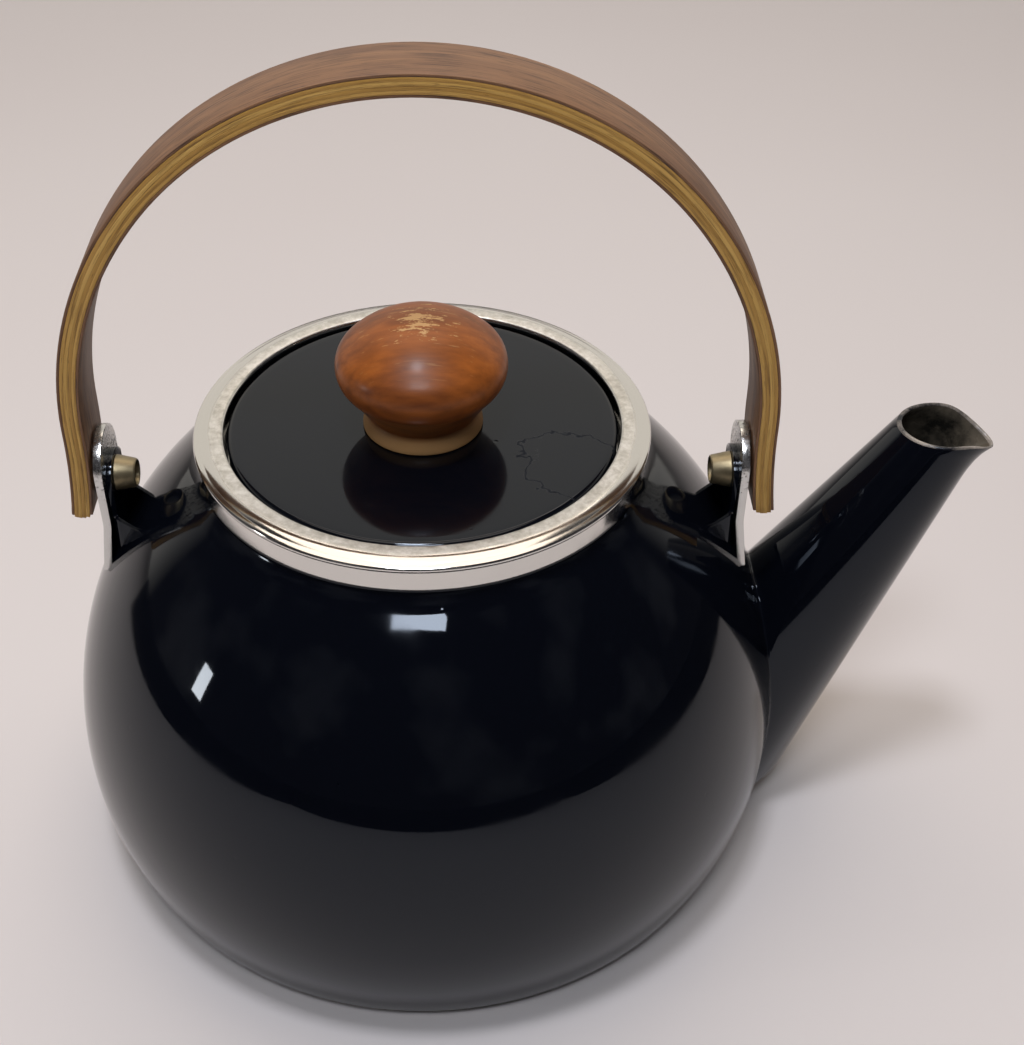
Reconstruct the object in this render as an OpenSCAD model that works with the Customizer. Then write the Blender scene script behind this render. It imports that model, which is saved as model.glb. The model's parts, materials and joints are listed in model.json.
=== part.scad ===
// Enamelled tea kettle with a drop-in lid, a turned knob and a laminated swing handle.
// Origin: centre of the flat foot. +Z is up, the spout points to +X, the handle spans X.

/* [Body] */
// Widest diameter of the body
body_d = 202.6; // [160:0.2:260]
// Height of the widest place above the table
belly_h = 37.5; // [30:0.5:60]
// Sheet thickness of the enamelled steel
wall = 1.2; // [0.8:0.1:2]
// Corner radius at the foot
foot_r = 9; // [6:0.5:14]

/* [Mouth] */
// Outer diameter of the bead on the mouth ring
ring_d = 120; // [95:1:150]
// Width of the ring, from the bead to the mouth
ring_w = 7.9; // [6:0.1:10]
// Height of the ring top above the place where the neck leaves the shoulder
ring_stand = 10.7; // [9:0.1:16]

/* [Lid] */
// Side gap between the lid and the ring
lid_gap = 0.8; // [0.4:0.1:1.5]
// How far the top of the lid lies below the top of the ring
lid_drop = 1.1; // [0.5:0.1:3]
// Largest diameter of the knob
knob_d = 44.4; // [34:0.2:56]
// Height of the knob above the lid
knob_h = 31.6; // [24:0.2:40]

/* [Spout] */
// Angle of the spout above the table
spout_tilt = 63; // [56:1:70]
// Outer diameter of the spout at its mouth, square to its axis
spout_mouth_d = 21.4; // [16:0.2:28]
// Half of the cone angle of the spout
spout_taper = 7.9; // [5:0.1:9]
// How far the centre of the spout's mouth stands out from the widest place of the body
spout_out = 38.3; // [32:0.1:50]

/* [Handle] */
// How far each side of the handle stands in from the widest place of the body
handle_inset = 8.9; // [6:0.1:14]
// Height of the handle's top above the ring's top
handle_rise = 98; // [80:0.5:130]
// Width of the laminated strip
strip_w = 18.4; // [14:0.2:26]
// Thickness of one face veneer
veneer_t = 0.8; // [0.5:0.1:1.5]
// Thickness of one core ply
core_t = 1; // [0.7:0.1:1.6]

/* [Pivot] */
// Diameter of the pivot bolt
bolt_d = 5; // [4:0.5:6]
// Thickness of the plated strap
strap_t = 2.2; // [1.5:0.1:3]
// Width of the plated strap
strap_w = 20; // [16:0.5:24]
// Sheet thickness of the ear
ear_t = 1.3; // [1:0.1:2]

/* [Hidden] */
$fn = 96;

// Clearances, on the radius
run_gap = 0.05;    // a bore that turns on the bolt
pass_gap = 0.1;    // a hole that the bolt only passes through
rest_gap = 0.05;   // a lid resting on its ledge
cut_over = 1;      // how far a cutting solid runs past the face that it cuts

// Body outline: a shoulder arc, a flank arc and a foot arc that meet without a corner
shoulder_in = 2.3;                                   // the shoulder arc's centre lies past the axis
shoulder_r = body_d / 2 + shoulder_in;
flank_r = body_d * 0.42;                             // the flank curves a little tighter
flank_x = body_d / 2 - flank_r;
foot_tilt = asin((belly_h - foot_r) / (flank_r - foot_r));
foot_x = flank_x + (flank_r - foot_r) * cos(foot_tilt);
seam_z = foot_r * (1 - sin(foot_tilt));              // where the pan is welded to the shell
foot_ring_w = 9;                                     // width of the ring that touches the table
foot_dish = 1.2;                                     // how far the middle of the pan is raised

arc_step = 3;                                        // degrees between the points of an outline
// Height of the shoulder's outer face at a radius, and its radius at a height
function dome_z(r) = belly_h + sqrt(pow(shoulder_r, 2) - pow(r + shoulder_in, 2));
function dome_r(z) = sqrt(pow(shoulder_r, 2) - pow(z - belly_h, 2)) - shoulder_in;

// Mouth ring and neck
ring_r = ring_d / 2;
ring_t = 0.8;                                        // sheet of the ring
skirt_in = 0.7;                                      // the skirt stands in from the bead
neck_r = ring_r - skirt_in - ring_t;
ring_top = dome_z(neck_r) + ring_stand;
ring_in = ring_r - ring_w;
ring_fall_r = 8;                                     // soft fall from the flat top to the bead
ring_break = 0.4;                                    // broken edge at the mouth
bead_r = 0.85;
bead_h = 2.6;                                        // ring top down to the lower edge of the bead
skirt_h = 8.5;                                       // ring top down to the lower edge of the skirt
ring_inner_h = 7.4;                                  // ring top down to the underside of the ledge
ledge_w = 2.6;                                       // the ledge that carries the lid
ring_flat = 2.9;                                     // flat, worn top of the ring

// Lid
lid_top = ring_top - lid_drop;
lid_r = ring_in - lid_gap;
lid_edge = 1.6;                                      // radius of the turned-down edge
lid_rim_z = ring_top - ring_inner_h + ring_t + rest_gap;
flange_gap = 0.7;                                    // side gap between the flange and the ledge
flange_r = ring_in - ledge_w - flange_gap;           // locating flange inside the ledge
flange_h = 13;                                       // lid top down to the end of the flange

// Knob: a crown arc, a rim arc and a tapered underside over a short collar
knob_rim_r = 8;
knob_rim_z = lid_top + knob_h * 0.57;
crown_drop = lid_top + knob_h - knob_rim_z;
crown_side = knob_d / 2 - knob_rim_r;
crown_r = (pow(crown_side, 2) + pow(crown_drop, 2) - pow(knob_rim_r, 2))
          / (2 * (crown_drop - knob_rim_r));
knob_under = 52;                                     // where the rim arc starts, degrees below level
collar_r = knob_d * 0.355;
collar_h = 4.2;
collar_foot = 1;                                     // straight foot of the collar
collar_taper = 0.7;
collar_step = 0.2;                                   // groove between the collar and the cap
screw_d = 4;
screw_len = 16;
screw_head_h = 2.4;
screw_hole_r = screw_d / 2 + 0.3;
slot_w = 1;                                          // screwdriver slots
slot_deep = 1;
knob_washer_t = 1;
knob_washer_r = 2 * screw_d;

// Spout: a cone about a tilted axis through the middle of its mouth
spout_reach = body_d / 2 + spout_out;
spout_top = ring_top - 3.3;
spout_t = 1.2;
spout_foot = 11;                                     // underside of the spout above the table
spout_mouth_r = spout_mouth_d / 2;
spout_past = 20;                                     // the cone runs past its mouth and is cut level
spout_len = (spout_top - spout_foot) / sin(spout_tilt) + spout_past;
port_r = 15;                                         // opening from the body into the spout
port_z = belly_h + 2.5;

// Pouring lip: a short tilted gutter at the spout's far side, cut level with the mouth
lip_r = 5.2;
lip_tilt = 42;
lip_reach = 1.6;                                     // how far it stands out of the cone
lip_len = 12;
lip_x = spout_reach + spout_mouth_r / sin(spout_tilt) + lip_reach - lip_r / sin(lip_tilt);

// Handle outline, outer face: a crown arc, two side arcs and two legs that curve outwards
handle_w = body_d - 2 * handle_inset;
strip_t = 2 * veneer_t + 4 * core_t;
handle_top = ring_top + handle_rise;
crown_span = 50;                                     // half of the crown arc, degrees
arch_r = handle_w * 0.487;                           // just under half of the handle's width
side_r = arch_r + (handle_w / 2 - arch_r) / (1 - sin(crown_span));
side_x = -(side_r - arch_r) * sin(crown_span);
arch_z = handle_top - arch_r;
side_z = arch_z - (side_r - arch_r) * cos(crown_span);
leg_r = 180;
// How far out the strip's face lies at a height, at depth d below its outer face
function leg_x(z, d) = z > side_z
    ? side_x + sqrt(pow(side_r - d, 2) - pow(z - side_z, 2))
    : handle_w / 2 + leg_r - sqrt(pow(leg_r + d, 2) - pow(side_z - z, 2));

// Pivot: bolt, nut and washer on an axis along X
pivot_z = ring_top - 17.6;
pivot_x = leg_x(pivot_z, 0);                         // outer face of the leg beside the bolt
leg_end_z = pivot_z - 8.3;
pivot_washer_r = 5.5;
pivot_washer_t = 1;
head_r = 4.4;
head_h = 2;
head_sunk = 0.4;                                     // the bolt's head lies below the wood
head_x = pivot_x - head_sunk;
nut_r = 4.95;
nut_end_r = 3.7;
nut_hole_r = 3.1;
nut_len = 5.5;
nut_grip = 3.2;                                      // threaded length

// Straps and ears: both start inside the body and stand beside the leg
strap_top_r = strap_w / 2;
strap_top_z = pivot_z + 4.1;                         // centre of the strap's rounded top
strap_out = min(leg_x(pivot_z + pivot_washer_r, strip_t) - pivot_washer_t,
                leg_x(strap_top_z + strap_top_r, strip_t)) - run_gap;
strap_in = strap_out - strap_t;
strap_bend = dome_z(strap_out) + 12.5;               // below this the strap leans out
strap_lean = 8;
root_z = (belly_h + pivot_z) / 2;                    // start of straps and ears, inside the body
ear_in = strap_in - ear_t;
ear_w = strap_w - 2;
ear_top_z = pivot_z + 6.8;
gusset_z = pivot_z - 7.7;                            // top of the gusset at the strap
gusset_fall = 42;                                    // slope of the gusset's top edge
gusset_deep = strap_in - dome_r(gusset_z);

// ---------- helpers ----------

// Points along an arc, from angle a0 to a1 about a centre, with equal steps
function arc(x, z, r, a0, a1) =
    let (n = ceil(abs(a1 - a0) / arc_step))
    [for (i = [0 : n]) [x + r * cos(a0 + (a1 - a0) * i / n), z + r * sin(a0 + (a1 - a0) * i / n)]];

// Angle at which the shoulder arc, grown inwards by d, runs into the neck
function neck_angle(d) = acos((neck_r - d + shoulder_in) / (shoulder_r - d));

// Flank and shoulder of the body, grown inwards by d, from the seam up to the neck
function side_line(d) = concat(
    arc(flank_x, belly_h, flank_r - d, -foot_tilt, -arc_step),
    arc(-shoulder_in, belly_h, shoulder_r - d, 0, neck_angle(d)));

// Solid body, grown inwards by d, from the table to the neck
module body_solid(d) {
    foot = arc(foot_x, foot_r, foot_r - d, -90, -foot_tilt - arc_step);
    side = side_line(d);
    rotate_extrude() polygon(concat([[0, d]], foot, side, [[0, side[len(side) - 1][1]]]));
}

// Mirrored to the left side when side is -1
module on_side(side) {
    mirror([side < 0 ? 1 : 0, 0, 0]) children();
}

// A rod along X, from x0 to x1 on the pivot axis
module pivot_rod(x0, x1, r0, r1) {
    translate([x0, 0, pivot_z]) rotate([0, 90, 0]) cylinder(h = x1 - x0, r1 = r0, r2 = r1);
}

// ---------- body ----------

module body_shell() color("#101018") {
    inner = side_line(wall);
    difference() {
        rotate_extrude() polygon(concat(
            side_line(0), [[neck_r, ring_top - ring_t], [neck_r - wall, ring_top - ring_t]],
            [for (i = [len(inner) - 1 : -1 : 0]) inner[i]]));
        translate([0, 0, port_z]) rotate([0, 90, 0]) cylinder(h = body_d, r = port_r);
    }
}

module base_pan() color("#101018") {
    difference() {
        intersection() {
            body_solid(0);
            translate([-body_d, -body_d, -cut_over]) cube([2 * body_d, 2 * body_d, seam_z + cut_over]);
        }
        difference() {
            body_solid(wall);
            cylinder(h = wall + foot_dish, r = foot_x - foot_ring_w);
        }
        translate([0, 0, -cut_over])
            cylinder(h = foot_dish + cut_over, r = foot_x - foot_ring_w - wall);
    }
}

// ---------- spout ----------

// Cone of the spout, grown inwards by d
module spout_cone(d) {
    low = spout_mouth_r + spout_len * tan(spout_taper);
    high = spout_mouth_r - spout_past * tan(spout_taper);
    translate([spout_reach, 0, spout_top]) rotate([0, 90 - spout_tilt, 0])
        translate([0, 0, -spout_len])
            cylinder(h = spout_len + spout_past, r1 = low - d, r2 = high - d);
}

// Cone and pouring lip, grown inwards by d and cut level at the foot
module spout_form(d) {
    intersection() {
        union() {
            spout_cone(d);
            translate([lip_x, 0, spout_top]) rotate([0, 90 - lip_tilt, 0])
                translate([0, 0, -lip_len]) cylinder(h = 2 * lip_len, r = lip_r - d);
        }
        translate([0, -body_d / 2, spout_foot + d])
            cube([2 * body_d, body_d, spout_top - spout_foot - d + (d > 0 ? cut_over : 0)]);
    }
}

module spout() color("#101018") {
    difference() {
        spout_form(0);
        spout_form(spout_t);
        body_solid(0);
    }
}

// ---------- mouth ring ----------

module mouth_ring() color("#c9cacb") {
    ledge_z = ring_top - ring_inner_h;
    rotate_extrude() polygon(concat(
        [[ring_in - ledge_w, ledge_z], [ring_in + ring_t, ledge_z],
         [ring_in + ring_t, ring_top - ring_t], [neck_r, ring_top - ring_t],
         [neck_r, ring_top - skirt_h], [neck_r + ring_t, ring_top - skirt_h],
         [neck_r + ring_t, ring_top - bead_h]],
        arc(ring_r - bead_r, ring_top - bead_h + bead_r, bead_r, -80, 55),
        arc(ring_in + ring_flat, ring_top - ring_fall_r, ring_fall_r, 64, 90),
        [[ring_in + ring_break, ring_top], [ring_in, ring_top - ring_break],
         [ring_in, ledge_z + ring_t], [ring_in - ledge_w, ledge_z + ring_t]]));
}

// ---------- lid ----------

module lid_disc() color("#101018") {
    rotate_extrude() {
        difference() {
            union() {
                translate([0, lid_rim_z]) square([lid_r, lid_top - lid_edge - lid_rim_z]);
                translate([0, lid_rim_z]) square([lid_r - lid_edge, lid_top - lid_rim_z]);
                translate([lid_r - lid_edge, lid_top - lid_edge]) circle(r = lid_edge);
            }
            translate([-cut_over, lid_rim_z - cut_over])
                square([lid_r - wall + cut_over, lid_top - wall - lid_rim_z + cut_over]);
            translate([-cut_over, lid_rim_z]) square([screw_hole_r + cut_over, lid_top]);
        }
        translate([flange_r - wall, lid_top - flange_h]) square([wall, flange_h - wall / 2]);
    }
}

module knob() color("#8a4a1f") {
    crown_z = lid_top + knob_h - crown_r;
    meet = atan2(knob_rim_z - crown_z, crown_side);  // where the rim arc runs into the crown arc
    difference() {
        rotate_extrude() polygon(concat(
            [[0, lid_top], [collar_r, lid_top], [collar_r, lid_top + collar_foot],
             [collar_r - collar_taper, lid_top + collar_h],
             [collar_r - collar_taper - collar_step, lid_top + collar_h + 3 * collar_step]],
            arc(crown_side, knob_rim_z, knob_rim_r, -knob_under, meet),
            arc(0, crown_z, crown_r, meet + arc_step, 90)));
        translate([0, 0, lid_top - cut_over])
            cylinder(h = screw_len - knob_washer_t - wall + cut_over, r = screw_d / 2);
    }
}

module knob_washer() color("#9a9a9a") {
    translate([0, 0, lid_top - wall - knob_washer_t]) difference() {
        cylinder(h = knob_washer_t, r = knob_washer_r);
        translate([0, 0, -cut_over]) cylinder(h = knob_washer_t + 2 * cut_over, r = screw_hole_r);
    }
}

module knob_screw() color("#9a9a9a") {
    under = lid_top - wall - knob_washer_t;
    difference() {
        union() {
            translate([0, 0, under]) cylinder(h = screw_len, r = screw_d / 2);
            translate([0, 0, under - screw_head_h]) cylinder(h = screw_head_h, r = screw_d);
        }
        translate([-screw_d - cut_over, -slot_w / 2, under - screw_head_h - cut_over])
            cube([2 * (screw_d + cut_over), slot_w, slot_deep + cut_over]);
    }
}

// ---------- ears, straps and pivots ----------

module ear(side) color("#101018") on_side(side) {
    difference() {
        union() {
            // outer wall with a rounded tongue for the bolt
            translate([ear_in, -ear_w / 2, root_z]) cube([ear_t, ear_w, ear_top_z - ear_w / 2 - root_z]);
            translate([ear_in, 0, ear_top_z - ear_w / 2]) rotate([0, 90, 0])
                cylinder(h = ear_t, r = ear_w / 2);
            // two gussets back to the shoulder
            for (y = [-ear_w / 2, ear_w / 2 - ear_t])
                translate([0, y + ear_t, 0]) rotate([90, 0, 0]) linear_extrude(ear_t)
                    polygon([[strap_in, root_z], [strap_in, gusset_z],
                             [strap_in - gusset_deep, gusset_z - gusset_deep * tan(gusset_fall)],
                             [strap_in - gusset_deep, root_z]]);
        }
        body_solid(0);
        pivot_rod(0, body_d, bolt_d / 2 + pass_gap, bolt_d / 2 + pass_gap);
    }
}

module strap(side) color("#b9bbbd") on_side(side) {
    shift = (strap_bend - root_z) * tan(strap_lean);
    difference() {
        union() {
            translate([strap_in, 0, strap_top_z]) rotate([0, 90, 0])
                cylinder(h = strap_t, r = strap_top_r);
            translate([0, strap_w / 2, 0]) rotate([90, 0, 0]) linear_extrude(strap_w)
                polygon([[strap_in, strap_top_z], [strap_in, strap_bend],
                         [strap_in + shift, root_z], [strap_out + shift, root_z],
                         [strap_out, strap_bend], [strap_out, strap_top_z]]);
        }
        body_solid(0);
        pivot_rod(0, body_d, bolt_d / 2 + pass_gap, bolt_d / 2 + pass_gap);
    }
}

module pivot_bolt(side) color("#8c8474") on_side(side) {
    difference() {
        union() {
            pivot_rod(ear_in - nut_grip, head_x, bolt_d / 2, bolt_d / 2);
            pivot_rod(head_x - head_h, head_x, bolt_d / 2, head_r);
        }
        translate([head_x - slot_deep, -head_r - cut_over, pivot_z - slot_w / 2])
            cube([slot_deep + cut_over, 2 * (head_r + cut_over), slot_w]);
    }
}

module barrel_nut(side) color("#9a8a6a") on_side(side) {
    difference() {
        pivot_rod(ear_in - nut_len, ear_in, nut_end_r, nut_r);
        pivot_rod(ear_in - nut_len - cut_over, ear_in - nut_grip, nut_hole_r, nut_hole_r);
        pivot_rod(ear_in - nut_len, ear_in + cut_over, bolt_d / 2, bolt_d / 2);
    }
}

module pivot_washer(side) color("#2a2622") on_side(side) {
    bore = bolt_d / 2 + run_gap;
    difference() {
        pivot_rod(strap_out, strap_out + pivot_washer_t, pivot_washer_r, pivot_washer_r);
        pivot_rod(strap_out - cut_over, strap_out + pivot_washer_t + cut_over, bore, bore);
    }
}

// ---------- laminated handle ----------

// Right half of a line at depth d below the handle's outer face, from the leg's end to the top
function handle_line(d) =
    let (leg = asin((side_z - leg_end_z) / (leg_r + d)))
    concat(arc(handle_w / 2 + leg_r, side_z, leg_r + d, 180 + leg, 180),
           arc(side_x, side_z, side_r - d, arc_step, 90 - crown_span),
           arc(0, arch_z, arch_r - d, 90 - crown_span + arc_step, 90));

// The same line all the way round, from the right leg to the left leg
function whole_line(d) =
    let (half = handle_line(d), n = len(half))
    concat(half, [for (i = [n - 2 : -1 : 0]) [-half[i][0], half[i][1]]]);

// One layer of the strip, between two depths below its outer face
module ply(a, b) {
    inner = whole_line(b);
    bore = bolt_d / 2 + run_gap;
    sink = head_r + pass_gap;
    difference() {
        translate([0, strip_w / 2, 0]) rotate([90, 0, 0]) linear_extrude(strip_w)
            polygon(concat(whole_line(a), [for (i = [len(inner) - 1 : -1 : 0]) inner[i]]));
        pivot_rod(-body_d, body_d, bore, bore);
        for (side = [-1, 1]) on_side(side) {
            pivot_rod(head_x - head_h, head_x, bore, sink);
            pivot_rod(head_x, head_x + strip_t, sink, sink);
        }
    }
}

module ply_core(n) color("#a9803c") {
    ply(veneer_t + (n - 1) * core_t, veneer_t + n * core_t);
}

module ply_face_outer() color("#7a4a38") ply(0, veneer_t);

module ply_face_inner() color("#7a4a38") ply(strip_t - veneer_t, strip_t);

body_shell();
base_pan();
spout();
mouth_ring();
lid_disc();
knob();
knob_washer();
knob_screw();
ear(-1);  // ear_left
ear(1);  // ear_right
strap(-1);  // strap_left
strap(1);  // strap_right
pivot_bolt(-1);  // pivot_bolt_left
pivot_bolt(1);  // pivot_bolt_right
barrel_nut(-1);  // barrel_nut_left
barrel_nut(1);  // barrel_nut_right
pivot_washer(-1);  // pivot_washer_left
pivot_washer(1);  // pivot_washer_right
ply_face_outer();
ply_core(1);  // ply_core_1
ply_core(2);  // ply_core_2
ply_core(3);  // ply_core_3
ply_core(4);  // ply_core_4
ply_face_inner();
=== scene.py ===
import json
import math

import bpy
from mathutils import Matrix, Vector


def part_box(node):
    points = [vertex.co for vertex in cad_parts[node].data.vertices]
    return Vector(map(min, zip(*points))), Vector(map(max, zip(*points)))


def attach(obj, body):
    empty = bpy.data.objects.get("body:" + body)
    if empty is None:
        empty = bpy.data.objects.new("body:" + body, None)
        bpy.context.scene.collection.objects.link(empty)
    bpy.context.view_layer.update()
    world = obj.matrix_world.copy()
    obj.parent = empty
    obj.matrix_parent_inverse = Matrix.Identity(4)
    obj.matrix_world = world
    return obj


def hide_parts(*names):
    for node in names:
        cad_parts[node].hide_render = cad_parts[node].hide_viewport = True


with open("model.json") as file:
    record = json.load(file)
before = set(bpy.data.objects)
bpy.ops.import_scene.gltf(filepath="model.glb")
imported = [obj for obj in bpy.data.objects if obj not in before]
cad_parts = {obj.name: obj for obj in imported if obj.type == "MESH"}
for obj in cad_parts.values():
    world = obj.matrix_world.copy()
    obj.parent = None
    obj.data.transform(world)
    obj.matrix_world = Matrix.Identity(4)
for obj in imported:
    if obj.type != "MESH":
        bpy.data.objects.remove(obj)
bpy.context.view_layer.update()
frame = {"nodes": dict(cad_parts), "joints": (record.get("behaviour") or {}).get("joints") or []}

# ---------------------------------------------------------------------------
# Body: a deep-drawn steel shell and a pressed pan, welded together near the foot and fired
# all over with black vitreous enamel. Both are turned about Z, as the metal was spun, with
# a soft fillet where the shoulder runs up into the neck.

MM = 0.001
RING_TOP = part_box("mouth_ring")[1][2]
BODY_R = -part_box("body_shell")[0][0]
SEAM_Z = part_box("base_pan")[1][2]
BELLY_Z = 37.5 * MM
SHOULDER_IN = 2.3 * MM
SHOULDER_R = BODY_R + SHOULDER_IN
FLANK_R = 0.84 * BODY_R
FOOT_R = 9 * MM
WALL = 1.2 * MM
FILLET_TURN = 1.4  # degrees that the shoulder stops short of the neck, for the fillet
NECK_FILLET = ((0.55 * MM, 0.45 * MM), (0.15 * MM, 1.1 * MM), (0, 1.9 * MM))
WELD = 1e-6
NECK_R = 58.5 * MM
NECK_TOP = RING_TOP - 0.8 * MM


def linear(colour):
    """An sRGB hex colour as the linear values that a shader takes."""
    parts = [int(colour[i:i + 2], 16) / 255 for i in (1, 3, 5)]
    return [c / 12.92 if c < 0.04045 else ((c + 0.055) / 1.055) ** 2.4 for c in parts] + [1.0]


def new_material(name, **shader_values):
    """A material with its shader's own sockets set, such as Roughness=0.1."""
    material = bpy.data.materials.new(name)
    material.use_nodes = True
    shader = material.node_tree.nodes["Principled BSDF"]
    for socket, value in shader_values.items():
        shader.inputs[socket.replace("_", " ")].default_value = value
    return material


def add_node(material, kind, settings=None, links=None):
    """One node with its settings, and links from other nodes' outputs into its inputs."""
    node = material.node_tree.nodes.new(kind)
    for key, value in (settings or {}).items():
        if isinstance(key, str) and hasattr(node, key):
            setattr(node, key, value)
        else:
            node.inputs[key].default_value = value
    for key, output in (links or {}).items():
        material.node_tree.links.new(output, node.inputs[key])
    return node


def into_shader(material, **outputs):
    """Links outputs into the shader's sockets."""
    shader = material.node_tree.nodes["Principled BSDF"]
    for socket, output in outputs.items():
        material.node_tree.links.new(output, shader.inputs[socket.replace("_", " ")])


def object_place(material):
    """The object's own coordinates, which every pattern here is laid out in."""
    return add_node(material, "ShaderNodeTexCoord").outputs["Object"]


def noise(material, place, scale, detail, **settings):
    """A noise pattern's value over some coordinates."""
    settings.update(Scale=scale, Detail=detail)
    return add_node(material, "ShaderNodeTexNoise", settings, {"Vector": place}).outputs["Fac"]


def ramp(material, value, low=0.0, high=1.0, start=0.0, end=1.0):
    """Maps low..high onto start..end, held at both ends."""
    return add_node(material, "ShaderNodeMapRange",
                    {"From Min": low, "From Max": high, "To Min": start, "To Max": end},
                    {"Value": value}).outputs["Result"]


def blend(material, share, first, second):
    """Mixes two colours, each a hex colour, linear values or another node's output."""
    settings = {"data_type": "RGBA"}
    links = {0: share}
    for key, colour in ((6, first), (7, second)):
        if isinstance(colour, str):
            settings[key] = linear(colour)
        elif isinstance(colour, tuple):
            settings[key] = colour
        else:
            links[key] = colour
    return add_node(material, "ShaderNodeMix", settings, links).outputs[2]


def bump(material, height, strength, distance, over=None):
    """Relief from a height pattern, laid over another relief where there is one."""
    links = {"Height": height, "Normal": over} if over else {"Height": height}
    return add_node(material, "ShaderNodeBump", {"Strength": strength, "Distance": distance},
                    links).outputs["Normal"]


def arc(x, z, r, a0, a1, steps):
    """Points (x, z) along an arc, angles in degrees."""
    turn = [math.radians(a0 + (a1 - a0) * i / steps) for i in range(steps + 1)]
    return [(x + r * math.cos(a), z + r * math.sin(a)) for a in turn]


def lathe(name, profile, steps=180):
    """Draws a profile of (radius, height) points out from one vertex and spins it about Z."""
    bpy.ops.object.select_all(action="DESELECT")
    bpy.ops.mesh.primitive_plane_add(size=MM)
    piece = bpy.context.object
    piece.name = piece.data.name = name
    bpy.ops.object.mode_set(mode="EDIT")
    bpy.ops.mesh.merge(type="CENTER")
    bpy.ops.transform.translate(value=(profile[0][0], 0, profile[0][1]))
    for (r0, z0), (r1, z1) in zip(profile, profile[1:]):
        bpy.ops.mesh.extrude_vertices_move(
            TRANSFORM_OT_translate={"value": (r1 - r0, 0, z1 - z0)})
    bpy.ops.mesh.select_all(action="SELECT")
    bpy.ops.mesh.spin(steps=steps, angle=math.tau, center=(0, 0, 0), axis=(0, 0, 1))
    bpy.ops.mesh.select_all(action="SELECT")
    bpy.ops.mesh.remove_doubles(threshold=WELD)
    bpy.ops.mesh.normals_make_consistent(inside=False)
    bpy.ops.object.mode_set(mode="OBJECT")
    bpy.ops.object.shade_smooth_by_angle(angle=math.radians(35))
    return piece


def dome_z(r):
    """Height of the shoulder's outer face at a radius."""
    return BELLY_Z + math.sqrt(SHOULDER_R ** 2 - (r + SHOULDER_IN) ** 2)


def body_r(z):
    """Radius of the body's outer face at a height."""
    if z > BELLY_Z:
        return math.sqrt(max(0, SHOULDER_R ** 2 - (z - BELLY_Z) ** 2)) - SHOULDER_IN
    return BODY_R - FLANK_R + math.sqrt(FLANK_R ** 2 - (BELLY_Z - z) ** 2)


def side_line(d):
    """The body's side at depth d, from the seam up to the neck."""
    low = -math.degrees(math.asin((BELLY_Z - SEAM_Z) / FLANK_R))
    high = math.degrees(math.acos((NECK_R - d + SHOULDER_IN) / (SHOULDER_R - d)))
    return (arc(BODY_R - FLANK_R, BELLY_Z, FLANK_R - d, low, 0, 16)
            + arc(-SHOULDER_IN, BELLY_Z, SHOULDER_R - d, 0, high - FILLET_TURN, 34)[1:])


def neck_line(d, top):
    """The fillet from the shoulder into the neck, and the neck."""
    r = NECK_R - d
    foot = dome_z(NECK_R) - d
    return [(r + out, foot + up) for out, up in NECK_FILLET] + [(r, top)]


WAVES_DEEP = 0.10 * MM
PEEL_DEEP = 0.0022 * MM
PITS_DEEP = 0.05 * MM


def enamel_look(name, base, haze, stain=None, stain_from=0.5):
    """Black glass enamel: deep gloss, slow waves in the steel, orange peel, pits and haze."""
    look = new_material(name, Base_Color=linear(base), IOR=1.5, Specular_IOR_Level=0.42,
                        Specular_Tint=linear("#DCE6F2"))
    place = object_place(look)
    pits = add_node(look, "ShaderNodeTexVoronoi", {"Scale": 75, "Randomness": 1}, {"Vector": place})
    pit = ramp(look, pits.outputs["Distance"], 0.02, 0.055)
    wavy = bump(look, noise(look, place, 28, 1), 1.0, WAVES_DEEP)
    peeled = bump(look, noise(look, place, 520, 2), 1.0, PEEL_DEEP, wavy)
    pitted = bump(look, pit, 0.6, PITS_DEEP, peeled)
    smudge = noise(look, place, 22, 5, Roughness=0.65, Distortion=0.8)
    gloss = ramp(look, smudge, 0.42, 0.72, haze, haze + 0.10)
    into_shader(look, Roughness=gloss, Normal=pitted)
    if stain:
        patches = noise(look, place, 60, 6, Roughness=0.7)
        share = ramp(look, patches, stain_from, stain_from + 0.2)
        into_shader(look, Base_Color=blend(look, share, base, stain))
    return look


# Fired enamel: the eye sees deep black glass with a cold blue cast and a trace of waviness.
enamel = enamel_look("black_vitreous_enamel_fired", "#06080F", 0.035)
# The same enamel inside, dulled by hard water.
enamel_inside = enamel_look("black_enamel_dulled_by_limescale", "#14140F", 0.30, "#3A352C", 0.42)

shell = lathe("enamel_shell", side_line(0) + neck_line(0, NECK_TOP)
              + [(NECK_R - WALL, NECK_TOP)] + neck_line(WALL, NECK_TOP - MM)[-2::-1]
              + side_line(WALL)[::-1] + [side_line(0)[0]])
shell.data.materials.append(enamel)
shell.data.materials.append(enamel_inside)
for face in shell.data.polygons:
    outward = Vector((face.center.x, face.center.y, face.center.z - BELLY_Z))
    face.material_index = int(face.normal.dot(outward) < 0)
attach(shell, "kettle_body")
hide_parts("body_shell")

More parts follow.
